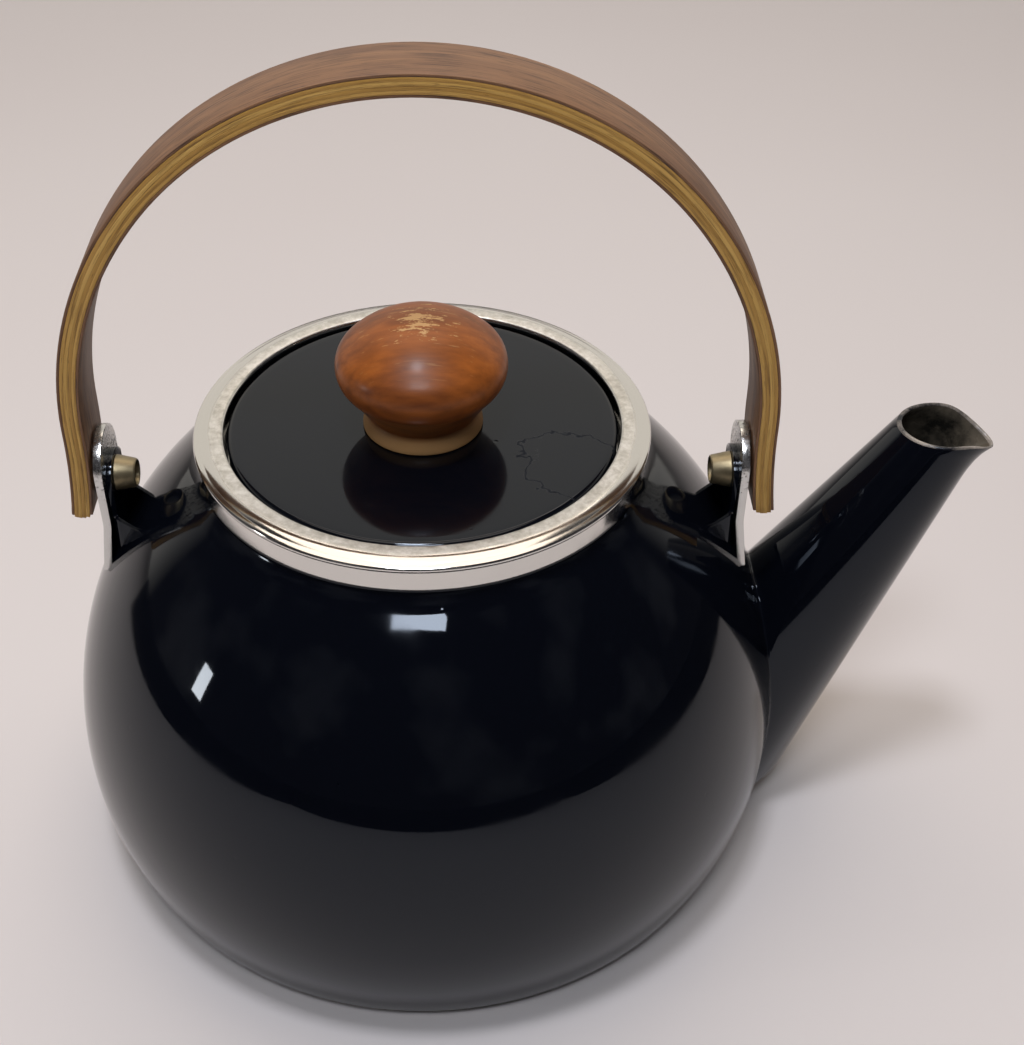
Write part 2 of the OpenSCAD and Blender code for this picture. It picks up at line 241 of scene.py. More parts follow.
FOOT_TILT = math.degrees(math.asin((BELLY_Z - FOOT_R) / (FLANK_R - FOOT_R)))
FOOT_X = BODY_R - FLANK_R + (FLANK_R - FOOT_R) * math.cos(math.radians(FOOT_TILT))
DISH = 1.2 * MM
DISH_X = FOOT_X - 11.4 * MM
STEP_X = FOOT_X - 10.2 * MM
STEP_R = 0.6 * MM
pan = lathe("enamel_pan",
            [(0, DISH), (DISH_X, DISH)]
            + arc(DISH_X, DISH - STEP_R, STEP_R, 90, 0, 4)
            + arc(STEP_X, STEP_R, STEP_R, 180, 270, 4)
            + arc(FOOT_X, FOOT_R, FOOT_R, -90, -FOOT_TILT, 20)
            + arc(FOOT_X, FOOT_R, FOOT_R - WALL, -FOOT_TILT, -90, 14)
            + [(FOOT_X - 9 * MM, WALL), (STEP_X, DISH + WALL), (0, DISH + WALL)])
pan.data.materials.append(enamel)
pan.data.materials.append(enamel_inside)
for face in pan.data.polygons:
    face.material_index = int(face.normal.z > 0.3)
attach(pan, "kettle_body")
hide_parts("base_pan")

# ---------------------------------------------------------------------------
# Spout: a rolled and welded steel cone, cut level at its mouth, with a small lip drawn out
# for pouring. It is welded to the body before firing, so enamel pools in the joint and
# rounds it. Each line down the cone runs into the body's surface through that fillet.

SPOUT_FOOT, SPOUT_TOP = (corner[2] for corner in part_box("spout"))
SPOUT_TILT = math.radians(63)
TAPER = math.tan(math.radians(7.9))
MOUTH_R = 10.7 * MM
MOUTH_X = BODY_R + 38.3 * MM
SPOUT_T = 1.2 * MM
LIP_OUT = 2.7 * MM
LIP_DROP = 5.6 * MM
LIP_DEEP = 13 * MM
RIM_BEFORE_LIP = 0.4 * MM
RIM_ROUND = 0.55 * MM
POOL = 3.6 * MM
POOL_SINK = 0.08 * MM
INNER_SINK = 0.3 * MM
FOOT_BEND = 4.5 * MM
FOOT_SEEN = 0.3 * MM  # a flat foot shorter than this is left out of the bend
AROUND = 144

down = Vector((-math.cos(SPOUT_TILT), 0, -math.sin(SPOUT_TILT)))
back = Vector((-math.sin(SPOUT_TILT), 0, math.cos(SPOUT_TILT)))


def on_cone(s, turn, d):
    """A point on the cone at depth d, s along the axis below the mouth's centre."""
    r = MOUTH_R + s * TAPER - d
    return (Vector((MOUTH_X, 0, SPOUT_TOP)) + down * s
            + r * (math.cos(turn) * back + math.sin(turn) * Vector((0, 1, 0))))


def at_height(z, turn, d):
    """How far along the axis the cone's line at this turn passes a height."""
    c = math.cos(turn) * math.cos(SPOUT_TILT)
    return (SPOUT_TOP - z + (MOUTH_R - d) * c) / (math.sin(SPOUT_TILT) - TAPER * c)


def flared(point, below, turn):
    """Draws the wall out and down towards +X near the mouth, to make the pouring lip."""
    far_side = max(0.0, -math.cos(turn))
    near_rim = max(0.0, 1 - below / LIP_DEEP)
    return point + Vector((LIP_OUT * far_side ** 5 * near_rim ** 2.2, 0,
                           -LIP_DROP * far_side ** 2.6 * near_rim ** 1.6))


def to_body(point, sink):
    """The nearest point of the body's surface at the same height, sunk a little."""
    r = math.hypot(point.x, point.y)
    return Vector((point.x, point.y, 0)) * ((body_r(point.z) - sink) / r) + Vector((0, 0, point.z))


def cone_line(turn, d):
    """One line of the spout from its mouth to the body: its corner points."""
    top = at_height(SPOUT_TOP, turn, d)
    s = top
    step = 0.25 * MM
    point = on_cone(s, turn, d)
    while point.z > SPOUT_FOOT + d and math.hypot(point.x, point.y) > body_r(point.z):
        s += step
        point = on_cone(s, turn, d)
    corner = on_cone(s, turn, d)
    if corner.z <= SPOUT_FOOT + d + step:
        corner.z = SPOUT_FOOT + d
    joint = corner.copy()
    if math.hypot(corner.x, corner.y) > body_r(corner.z) + step:
        joint.x = math.sqrt(body_r(corner.z) ** 2 - corner.y ** 2)
    return top, s, corner, joint


def bend(a, b, c, size, steps):
    """Rounds the corner b between a and c, starting and ending up to size away from it."""
    p = b + (a - b).normalized() * min(size, (a - b).length * 0.48)
    q = b + (c - b).normalized() * min(size, (c - b).length * 0.48)
    return [(1 - t) ** 2 * p + 2 * t * (1 - t) * b + t * t * q
            for t in (i / steps for i in range(steps + 1))]


SPOUT_CENTRE = Vector((BODY_R, 0, 45 * MM))
RIM_STEPS, WALL_STEPS, FOOT_STEPS, POOL_STEPS, INNER_STEPS = 5, 40, 6, 8, 26


def spout_section(turn):
    """All points of one closed section: inner wall up, rim, outer wall, fillet, and back."""
    top, low, corner, joint = cone_line(turn, 0)
    in_top, in_low, _, in_joint = cone_line(turn, SPOUT_T)
    inner = [flared(on_cone(in_low + (in_top + RIM_ROUND - in_low) * i / INNER_STEPS, turn, SPOUT_T),
                    (in_low - in_top) * (1 - i / INNER_STEPS), turn)
             for i in range(INNER_STEPS + 1)]
    inner[0] = to_body(in_joint, INNER_SINK)
    outer_rim = flared(on_cone(top + RIM_ROUND, turn, 0), RIM_BEFORE_LIP, turn)
    middle = (inner[-1] + outer_rim) / 2
    across = (outer_rim - inner[-1]) / 2
    lift = Vector((0, 0, RIM_ROUND * math.sin(SPOUT_TILT)))
    rim_points = []
    for i in range(1, RIM_STEPS):
        a = math.pi * i / RIM_STEPS
        rim_points.append(middle - across * math.cos(a) + lift * math.sin(a))
    away = joint - SPOUT_CENTRE
    normal = Vector((joint.x, joint.y, joint.z - BELLY_Z)).normalized()
    away = (away - normal * away.dot(normal)).normalized()
    pool = POOL * (1 + 0.25 * math.sin(5 * turn + 1) * math.sin(2 * turn))
    end = to_body(joint + away * pool, POOL_SINK)
    stop = low - pool * 1.2
    rise = top + RIM_ROUND
    wall = [flared(on_cone(rise + (stop - top - RIM_ROUND) * i / WALL_STEPS, turn, 0),
                   RIM_BEFORE_LIP + (stop - top) * i / WALL_STEPS, turn)
            for i in range(WALL_STEPS + 1)]
    floor = (joint - corner).length
    if floor > FOOT_SEEN:
        foot = bend(wall[-1], corner, joint, min(FOOT_BEND, floor * 0.6), FOOT_STEPS)
    else:
        foot = [wall[-1].lerp(corner, 0.5 * i / FOOT_STEPS) for i in range(1, FOOT_STEPS + 2)]
    fillet = bend(foot[-1], joint, end, pool, POOL_STEPS)
    return inner + rim_points + wall + foot[1:] + fillet[1:] + [end]


sections = [spout_section(math.tau * i / AROUND) for i in range(AROUND)]
rows = len(sections[0])
bpy.ops.object.select_all(action="DESELECT")
bpy.ops.mesh.primitive_torus_add(major_segments=AROUND, minor_segments=rows,
                                 major_radius=10 * MM, minor_radius=MM)
spout = bpy.context.object
spout.name = spout.data.name = "enamel_spout"
for vertex, point in zip(spout.data.vertices, (p for section in sections for p in section)):
    vertex.co = point
bpy.ops.object.mode_set(mode="EDIT")
bpy.ops.mesh.select_all(action="SELECT")
bpy.ops.mesh.normals_make_consistent(inside=False)
bpy.ops.object.mode_set(mode="OBJECT")
bpy.ops.object.shade_smooth_by_angle(angle=math.radians(60))
spout.data.materials.append(enamel)
# Limescale and tea have dulled the inside to grey brown.
spout.data.materials.append(enamel_look("spout_inside_tea_stained", "#1B1A17", 0.24,
                                        "#5A5348", 0.34))
# The rim has been knocked and rubbed, and shows grey ground coat through the black; its pale patches
# also stand in as a painted highlight along the rim.
spout.data.materials.append(enamel_look("enamel_worn_and_painted_highlight_at_spout_rim", "#15151A", 0.18,
                                        "#9C9389", 0.40))
# The rim faces take the third material, whose pale patches are partly worn ground coat and partly a
# painted highlight.
for face in spout.data.polygons:
    row = min(v % rows for v in face.vertices)
    if row < INNER_STEPS:
        face.material_index = 1
    elif row < INNER_STEPS + RIM_STEPS and max(v % rows for v in face.vertices) < rows - 1:
        face.material_index = 2
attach(spout, "kettle_body")
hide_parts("spout")

# ---------------------------------------------------------------------------
# Mouth ring: a strip of bright plated steel, rolled over the neck and spun down, with a
# rounded bead, a plain skirt and an inner ledge that carries the lid. Years of lids have
# worn the plating on top to a mottled satin.


def maths(material, operation, *terms):
    """One operation on numbers and other nodes' outputs."""
    numbers = {i: term for i, term in enumerate(terms) if isinstance(term, (int, float))}
    outputs = {i: term for i, term in enumerate(terms) if i not in numbers}
    return add_node(material, "ShaderNodeMath", {"operation": operation, **numbers},
                    outputs).outputs[0]


RING_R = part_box("mouth_ring")[1][0]
RING_IN = RING_R - 7.9 * MM
LEDGE_IN = RING_IN - 2.6 * MM
LEDGE_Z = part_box("mouth_ring")[0][2] + 1.1 * MM
SKIRT_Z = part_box("mouth_ring")[0][2]
RING_T = 0.8 * MM
BEAD_R = 0.85 * MM
ROLL_R = 8 * MM
INNER_ROLL_R = 0.9 * MM
ring = lathe("mouth_ring_spun",
             [(LEDGE_IN, LEDGE_Z), (RING_IN + RING_T, LEDGE_Z),
              (RING_IN + RING_T, NECK_TOP), (NECK_R, NECK_TOP), (NECK_R, SKIRT_Z)]
             + arc(NECK_R + 0.4 * MM, SKIRT_Z + 0.4 * MM, 0.4 * MM, -90, 0, 3)
             + [(NECK_R + RING_T, SKIRT_Z + 0.7 * MM), (NECK_R + RING_T, RING_TOP - 3.1 * MM),
                (NECK_R + RING_T, RING_TOP - 2.75 * MM)]
             + arc(RING_R - BEAD_R, RING_TOP - 1.75 * MM, BEAD_R, -75, 58, 10)
             + arc(RING_IN + 2.9 * MM, RING_TOP - ROLL_R, ROLL_R, 62, 90, 8)
             + arc(RING_IN + INNER_ROLL_R, RING_TOP - INNER_ROLL_R, INNER_ROLL_R, 95, 180, 6)
             + [(RING_IN, LEDGE_Z + 1.5 * MM), (RING_IN - 0.7 * MM, LEDGE_Z + RING_T),
                (LEDGE_IN, LEDGE_Z + RING_T), (LEDGE_IN, LEDGE_Z)], 240)

# Bright plating on spun steel: mirror bright on the bead and skirt, worn satin on top.
plating = new_material("bright_plated_steel_spun", Base_Color=linear("#DAD8D4"), Metallic=1.0)
WEAR_R = RING_IN + 2.6 * MM
WEAR_WANDER = 2.2 * MM
place = object_place(plating)
axes = add_node(plating, "ShaderNodeSeparateXYZ", links={"Vector": place})
flat = add_node(plating, "ShaderNodeCombineXYZ", links={"X": axes.outputs["X"],
                                                        "Y": axes.outputs["Y"]})
reach = add_node(plating, "ShaderNodeVectorMath", {"operation": "LENGTH"},
                 {0: flat.outputs["Vector"]})
mottle = noise(plating, place, 420, 5, Roughness=0.7)
blotch = noise(plating, place, 60, 3)
edge = maths(plating, "MULTIPLY_ADD", blotch, WEAR_WANDER, WEAR_R)
inside = maths(plating, "SUBTRACT", edge, reach.outputs["Value"])
worn = ramp(plating, inside, -0.4 * MM, 0.6 * MM)
level = ramp(plating, axes.outputs["Z"], RING_TOP - 0.5 * MM, RING_TOP - 0.1 * MM)
top_wear = maths(plating, "MULTIPLY", worn, level)
satin = ramp(plating, mottle, 0.3, 0.7, 0.36, 0.6)
bright = ramp(plating, blotch, 0.45, 0.75, 0.10, 0.20)
rough = add_node(plating, "ShaderNodeMix", {"data_type": "FLOAT"},
                 {0: top_wear, 2: bright, 3: satin})
worn_tone = blend(plating, ramp(plating, mottle, 0.35, 0.65), "#B4B2AC", "#DDDCD8")
colour = blend(plating, top_wear, "#DAD8D4", worn_tone)
scuffs = bump(plating, mottle, 0.5, 0.02 * MM)
into_shader(plating, Base_Color=colour, Roughness=rough.outputs[0], Normal=scuffs)
ring.data.materials.append(plating)
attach(ring, "kettle_body")
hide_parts("mouth_ring")

# ---------------------------------------------------------------------------
# Lid: a flat pressed disc with its edge turned down and a locating flange spot-welded
# below, enamelled like the body. It drops into the ring and rests on its ledge.

LID_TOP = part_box("lid_disc")[1][2]
LID_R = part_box("lid_disc")[1][0]
LID_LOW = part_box("lid_disc")[0][2]
FLANGE_R = LEDGE_IN - 0.7 * MM
RIM_Z = LEDGE_Z + 0.85 * MM
LID_EDGE_R = 1.6 * MM
lid = lathe("enamel_lid",
            [(0, LID_TOP - 0.10 * MM), (20 * MM, LID_TOP - 0.12 * MM),
             (36 * MM, LID_TOP - 0.06 * MM), (LID_R - 3.4 * MM, LID_TOP)]
            + arc(LID_R - LID_EDGE_R, LID_TOP - LID_EDGE_R, LID_EDGE_R, 90, 0, 9)
            + [(LID_R, RIM_Z), (LID_R - WALL, RIM_Z), (LID_R - WALL, LID_TOP - 2 * MM),
               (FLANGE_R, LID_TOP - 1.3 * MM), (FLANGE_R, LID_LOW), (FLANGE_R - WALL, LID_LOW),
               (FLANGE_R - WALL, LID_TOP - WALL), (0, LID_TOP - WALL)], 200)
# The lid's enamel is as the body's, with a faint dried water mark.
MARK_AT = (38 * MM, -19 * MM, LID_TOP)
MARK_R = 24 * MM
MARK_WANDER = 22 * MM
lid_enamel = enamel_look("black_enamel_lid", "#07090F", 0.05)
place = object_place(lid_enamel)
away = add_node(lid_enamel, "ShaderNodeVectorMath", {"operation": "DISTANCE", 1: MARK_AT},
                {0: place})
wander = noise(lid_enamel, place, 70, 4, Roughness=0.6)
edge = maths(lid_enamel, "MULTIPLY_ADD", wander, MARK_WANDER, away.outputs["Value"])
off_line = maths(lid_enamel, "ABSOLUTE", maths(lid_enamel, "SUBTRACT", edge, MARK_R))
tide = ramp(lid_enamel, off_line, 0.1 * MM, 0.8 * MM, 0.9, 0.0)
lid_shader = lid_enamel.node_tree.nodes["Principled BSDF"]
gloss = lid_shader.inputs["Roughness"].links[0].from_socket
into_shader(lid_enamel, Roughness=maths(lid_enamel, "MAXIMUM", tide, gloss))
lid.data.materials.append(lid_enamel)
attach(lid, "lid")
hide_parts("lid_disc")

# ---------------------------------------------------------------------------
# Knob: turned from one piece of teak-brown hardwood, its grain across the kettle, stained,
# varnished and by now chipped on top. A screw from below pulls it down on its collar.


def stretched(material, place, scale, turn=(0, 0, 0), shift=(0, 0, 0)):
    """Coordinates scaled, turned and shifted, so that a pattern can run along a grain."""
    return add_node(material, "ShaderNodeMapping",
                    {"Scale": scale, "Rotation": turn, "Location": shift},
                    {"Vector": place}).outputs["Vector"]


KNOB_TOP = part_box("knob")[1][2]
KNOB_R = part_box("knob")[1][0]
KNOB_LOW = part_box("knob")[0][2]
KNOB_H = KNOB_TOP - KNOB_LOW
CAP_RIM = 8 * MM
CAP_Z = KNOB_LOW + 0.57 * KNOB_H
COLLAR_R = 0.71 * KNOB_R
COLLAR_EDGE_R = 0.5 * MM
side = KNOB_R - CAP_RIM
drop = KNOB_TOP - CAP_Z
CROWN_R = (side ** 2 + drop ** 2 - CAP_RIM ** 2) / (2 * (drop - CAP_RIM))
meet = math.degrees(math.atan2(CAP_Z - (KNOB_TOP - CROWN_R), side))
knob = lathe("turned_knob",
             [(0, KNOB_LOW), (COLLAR_R - COLLAR_EDGE_R, KNOB_LOW)]
             + arc(COLLAR_R - COLLAR_EDGE_R, KNOB_LOW + COLLAR_EDGE_R, COLLAR_EDGE_R, -90, 0, 4)
             + [(COLLAR_R - 0.1 * MM, KNOB_LOW + 1.4 * MM),
                (COLLAR_R - 0.45 * MM, KNOB_LOW + 3.2 * MM),
                (COLLAR_R - 1.0 * MM, KNOB_LOW + 4.3 * MM),
                (COLLAR_R - 1.15 * MM, KNOB_LOW + 4.8 * MM),
                (COLLAR_R - 0.7 * MM, KNOB_LOW + 5.6 * MM)]
             + arc(side, CAP_Z, CAP_RIM, -50, meet, 26)
             + arc(0, KNOB_TOP - CROWN_R, CROWN_R, meet, 90, 20)[1:], 144)

# Turned hardwood under old varnish: brown orange with darker pores along X, chipped pale.
knob_wood = new_material("turned_hardwood_varnished", Coat_Weight=0.10, Coat_Roughness=0.20,
                         IOR=1.5, Specular_IOR_Level=0.25)
GRAIN_TURN = (0, 0.12, 0.2)
place = object_place(knob_wood)
pores_at = stretched(knob_wood, place, (60, 420, 420), GRAIN_TURN)
pores = noise(knob_wood, pores_at, 1, 6, Roughness=0.6)
bands_at = stretched(knob_wood, place, (9, 95, 60), GRAIN_TURN)
bands = noise(knob_wood, bands_at, 1, 3, Distortion=0.6)
grain = maths(knob_wood, "MULTIPLY_ADD", pores, 0.55, bands)
stained = blend(knob_wood, ramp(knob_wood, grain, 0.55, 1.0), "#A25A22", "#5A2C12")
axes = add_node(knob_wood, "ShaderNodeSeparateXYZ", links={"Vector": place})
high = ramp(knob_wood, axes.outputs["Z"], CAP_Z + 0.3 * drop, KNOB_TOP)
flakes_at = stretched(knob_wood, place, (190, 520, 260), (0, 0, -0.25))
flakes = noise(knob_wood, flakes_at, 1, 4, Roughness=0.75)
chip = ramp(knob_wood, maths(knob_wood, "MULTIPLY", high, flakes), 0.50, 0.54)
scratch_at = stretched(knob_wood, place, (26, 1100, 500), (0, 0, 0.22))
scratch = ramp(knob_wood, noise(knob_wood, scratch_at, 1, 2), 0.66, 0.72, 0.0, 0.55)
marked = maths(knob_wood, "MULTIPLY", scratch, high)
worn_through = maths(knob_wood, "MAXIMUM", chip, marked)
low = ramp(knob_wood, axes.outputs["Z"], KNOB_LOW + 5.2 * MM, KNOB_LOW + 3.6 * MM, 0.0, 0.75)
bare = maths(knob_wood, "MAXIMUM", worn_through, low)
colour = blend(knob_wood, bare, stained, "#C49A66")
rough = ramp(knob_wood, bare, 0.0, 1.0, 0.42, 0.62)
relief = bump(knob_wood, pores, 0.5, 0.05 * MM)
into_shader(knob_wood, Base_Color=colour, Roughness=rough, Normal=relief)
knob.data.materials.append(knob_wood)
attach(knob, "lid")
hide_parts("knob")

# Screw and washer under the lid: zinc-plated steel, grey and a little cloudy.
zinc = new_material("zinc_plated_steel_passivated", Base_Color=linear("#A9AAA6"), Metallic=1.0)
cloud = noise(zinc, object_place(zinc), 600, 3)
rough = ramp(zinc, cloud, 0.0, 1.0, 0.25, 0.55)
into_shader(zinc, Roughness=rough, Base_Color=blend(zinc, cloud, "#8F908C", "#BDBDB8"))
for node in ("knob_screw", "knob_washer", "pivot_bolt_left", "pivot_bolt_right"):
    for item in frame["nodes"][node].material_slots:
        item.material = zinc

# ---------------------------------------------------------------------------
# Ears: one on each side, bent up from sheet steel into a U, with a rounded tongue for the
# bolt and two gussets that run back to the shoulder. They are welded on and enamelled over.

EAR_T = 1.3 * MM
EAR_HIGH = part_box("ear_right")[1][2]
EAR_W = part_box("ear_right")[1][1] * 2
EAR_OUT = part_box("strap_right")[0][0]
GUSSET_Z = EAR_HIGH - 14.5 * MM
GUSSET_FALL = math.tan(math.radians(42))
GUSSET_DEEP = 9 * MM
EAR_BEND_R = 1.4 * MM
SHOULDER_SINK = 0.5 * MM


def shoulder_z(x, y):
    """Height just inside the shoulder's steel, under a point."""
    return dome_z(math.hypot(x, y)) - SHOULDER_SINK


def sheet_piece(name, columns, rows, place_point, thickness, bevel):
    """A grid laid out by place_point(u, v), given its thickness and soft edges."""
    bpy.ops.object.select_all(action="DESELECT")
    bpy.ops.mesh.primitive_grid_add(x_subdivisions=columns, y_subdivisions=rows, size=2)
    piece = bpy.context.object
    piece.name = piece.data.name = name
    for vertex in piece.data.vertices:
        vertex.co = place_point((vertex.co.x + 1) / 2, (vertex.co.y + 1) / 2)
    thick = piece.modifiers.new("sheet", "SOLIDIFY")
    thick.thickness = thickness
    thick.offset = 0
    soft = piece.modifiers.new("edges", "BEVEL")
    soft.width = bevel
    soft.segments = 3
    soft.limit_method = "ANGLE"
    soft.angle_limit = math.radians(50)
    for modifier in ("sheet", "edges"):
        bpy.ops.object.modifier_apply(modifier=modifier)
    bpy.ops.object.shade_smooth_by_angle(angle=math.radians(40))
    return piece


def copy_to_left(piece, name):
    """A mirrored copy for the left side, with its own mesh."""
    bpy.ops.object.select_all(action="DESELECT")
    twin = piece.copy()
    twin.data = piece.data.copy()
    twin.name = twin.data.name = name
    bpy.context.collection.objects.link(twin)
    for vertex in twin.data.vertices:
        vertex.co.x = -vertex.co.x
    twin.data.flip_normals()
    return twin


def ear_point(u, v):
    """Plan: in along one gusset, round the corner, along the wall and back again."""
    half = EAR_W / 2 - EAR_T / 2
    wall_x = EAR_OUT - EAR_T / 2
    corner = EAR_BEND_R
    leg = GUSSET_DEEP - corner
    turn = corner * math.pi / 2
    wall = 2 * (half - corner)
    s = u * (2 * leg + 2 * turn + wall)
    side = -1
    if s > leg + turn + wall / 2:
        s = 2 * leg + 2 * turn + wall - s
        side = 1
    if s < leg:
        x, y = wall_x - GUSSET_DEEP + s, half
    elif s < leg + turn:
        a = (s - leg) / corner
        x, y = wall_x - corner + corner * math.sin(a), half - corner + corner * math.cos(a)
    else:
        x, y = wall_x, half - corner - (s - leg - turn)
    low = shoulder_z(x, y)
    tongue_r = EAR_W / 2 - 0.2 * MM
    high = GUSSET_Z - (EAR_OUT - x) * GUSSET_FALL
    if x > wall_x - 0.25 * MM and y < tongue_r:
        high = max(high, EAR_HIGH - EAR_W / 2 + math.sqrt(tongue_r ** 2 - y ** 2))
    return Vector((x, side * y, low + max(0.2 * MM, high - low) * v))


ear = sheet_piece("ear_bracket_right", 90, 14, ear_point, EAR_T, 0.3 * MM)
ear.data.materials.append(enamel)
for piece, side in ((ear, "right"), (copy_to_left(ear, "ear_bracket_left"), "left")):
    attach(piece, "kettle_body")
    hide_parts("ear_" + side)

# ---------------------------------------------------------------------------
# Straps: plated steel bars outside the ears, rounded at the top and welded to the shoulder
# below, where they lean out to meet it. The plating is pitted along the edge at the top.

STRAP_T = 2.2 * MM
STRAP_IN, STRAP_OUT = EAR_OUT, EAR_OUT + STRAP_T
STRAP_W = 20 * MM
STRAP_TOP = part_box("strap_right")[1][2]
STRAP_BEND = STRAP_TOP - 24.8 * MM
STRAP_LEAN = math.tan(math.radians(8))
STRAP_FALL = 15 * MM
# Widths are drawn this much narrower, so that bevels and shading stay inside the solids.
INSIDE_BOX = 0.998


def strap_point(u, v):
    """Rounded top, straight sides, and a lean outwards below the bend."""
    y = (u - 0.5) * STRAP_W * INSIDE_BOX
    middle = (STRAP_IN + STRAP_OUT) / 2
    high = STRAP_TOP - STRAP_W / 2 + math.sqrt((STRAP_W / 2) ** 2 - y * y)
    low = shoulder_z(middle + STRAP_FALL * STRAP_LEAN, y) + 0.2 * MM
    z = low + (high - low) * v
    return Vector((middle + max(0, STRAP_BEND - z) * STRAP_LEAN, y, z))


strap = sheet_piece("plated_strap_right", 56, 40, strap_point, STRAP_T, 0.35 * MM)
# Nickel-plated bar: satin bright, with dark pits and frosting where it has corroded.
nickel = new_material("nickel_plated_bar_pitted", Metallic=1.0)
place = object_place(nickel)
specks = noise(nickel, place, 900, 4, Roughness=0.7)
axes = add_node(nickel, "ShaderNodeSeparateXYZ", links={"Vector": place})
upper = ramp(nickel, axes.outputs["Z"], STRAP_TOP - 19 * MM, STRAP_TOP - 12 * MM, 0.0, 0.13)
pitted = maths(nickel, "ADD", specks, upper)
pit = ramp(nickel, pitted, 0.66, 0.80)
colour = blend(nickel, pit, "#CFCFCD", "#4B4844")
rough = ramp(nickel, pit, 0.0, 1.0, 0.20, 0.55)
relief = bump(nickel, pitted, 0.8, 0.06 * MM)
into_shader(nickel, Base_Color=colour, Roughness=rough, Normal=relief)
strap.data.materials.append(nickel)
for piece, side in ((strap, "right"), (copy_to_left(strap, "plated_strap_left"), "left")):
    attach(piece, "kettle_body")
    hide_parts("strap_" + side)

# ---------------------------------------------------------------------------
# Pivots: a countersunk bolt through each leg, a dark fibre washer between wood and strap,
# and a tapered barrel nut, turned from brass and long since dull, on the inner side.

PIVOT_Z = frame["joints"][0]["pos_m"][2]
NUT_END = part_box("barrel_nut_right")[0][0]
NUT_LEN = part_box("barrel_nut_right")[1][0] - NUT_END
NUT_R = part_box("barrel_nut_right")[1][1]
NUT_BORE_R = 2.5 * MM
HOLLOW_Z = NUT_LEN - 2.3 * MM
nut = lathe("barrel_nut_turned_right",
            [(NUT_BORE_R, 0), (NUT_R - 0.15 * MM, 0), (NUT_R, 0.2 * MM), (NUT_R - 0.1 * MM, 0.7 * MM),
             (3.95 * MM, NUT_LEN - 0.5 * MM), (3.75 * MM, NUT_LEN - 0.12 * MM),
             (3.55 * MM, NUT_LEN), (3.3 * MM, NUT_LEN - 0.05 * MM),
             (3.1 * MM, NUT_LEN - 0.35 * MM), (3.05 * MM, HOLLOW_Z),
             (NUT_BORE_R, HOLLOW_Z), (NUT_BORE_R, 0)], 96)
nut.rotation_euler = (0, -math.pi / 2, 0)
nut.location = (NUT_END + NUT_LEN, 0, PIVOT_Z)
bpy.ops.object.transform_apply(location=True, rotation=True, scale=True)
# Old turned brass: olive brown, satin, a little darker in the hollow.
brass = new_material("turned_brass_tarnished", Metallic=0.85)
cloud = noise(brass, object_place(brass), 350, 4)
rough = ramp(brass, cloud, 0.0, 1.0, 0.3, 0.5)
into_shader(brass, Base_Color=blend(brass, cloud, "#6B6047", "#A99C7E"), Roughness=rough)
nut.data.materials.append(brass)
for piece, side in ((nut, "right"), (copy_to_left(nut, "barrel_nut_turned_left"), "left")):
    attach(piece, "kettle_body")
    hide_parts("barrel_nut_" + side)

# Vulcanised fibre: near black, matt, with a fine felt-like mottle.
fibre = new_material("vulcanised_fibre_pressed", Base_Color=linear("#1C1815"))
felt = noise(fibre, object_place(fibre), 1500, 3)
rough = ramp(fibre, felt, 0.0, 1.0, 0.6, 0.9)
into_shader(fibre, Roughness=rough, Normal=bump(fibre, felt, 0.4, 0.03 * MM))
for side in ("left", "right"):
    for item in frame["nodes"]["pivot_washer_" + side].material_slots:
        item.material = fibre

# ---------------------------------------------------------------------------
# Handle: a strip of bentwood laminated from six veneers, two stained faces over four
# lighter cores, glued in a hoop mould and sawn to width, so every glue line shows along
# the edge. The hoop is a crown arc and two side arcs, and the legs curve out a little.

STRIP_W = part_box("ply_face_outer")[1][1] * 2
HANDLE_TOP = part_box("ply_face_outer")[1][2]
LEG_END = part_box("ply_face_outer")[0][2]
HALF = BODY_R - 8.9 * MM
ARCH_R = HALF * 0.974
CROWN = math.radians(50)
SIDE_R = ARCH_R + (HALF - ARCH_R) / (1 - math.sin(CROWN))
SIDE_X = (SIDE_R - ARCH_R) * math.sin(CROWN)
ARCH_Z = HANDLE_TOP - ARCH_R
SIDE_Z = ARCH_Z - (SIDE_R - ARCH_R) * math.cos(CROWN)
LEG_R = 180 * MM
FACE_T, CORE_T = 0.8 * MM, 1.0 * MM
STRIP_T = 2 * FACE_T + 4 * CORE_T


def depth_and_run(x, z):
    """How deep below the outer face a point lies, and how far along the strip from the top."""
    lean = abs(math.atan2(x, z - ARCH_Z))
    if lean < CROWN:
        depth = ARCH_R - math.hypot(x, z - ARCH_Z)
    elif z > SIDE_Z:
        depth = SIDE_R - math.hypot(abs(x) + SIDE_X, z - SIDE_Z)
    else:
        depth = math.hypot(HALF + LEG_R - abs(x), z - SIDE_Z) - LEG_R
    run = lean * ARCH_R if z > ARCH_Z else ARCH_R * math.pi / 2 + ARCH_Z - z
    return depth, math.copysign(run, x)


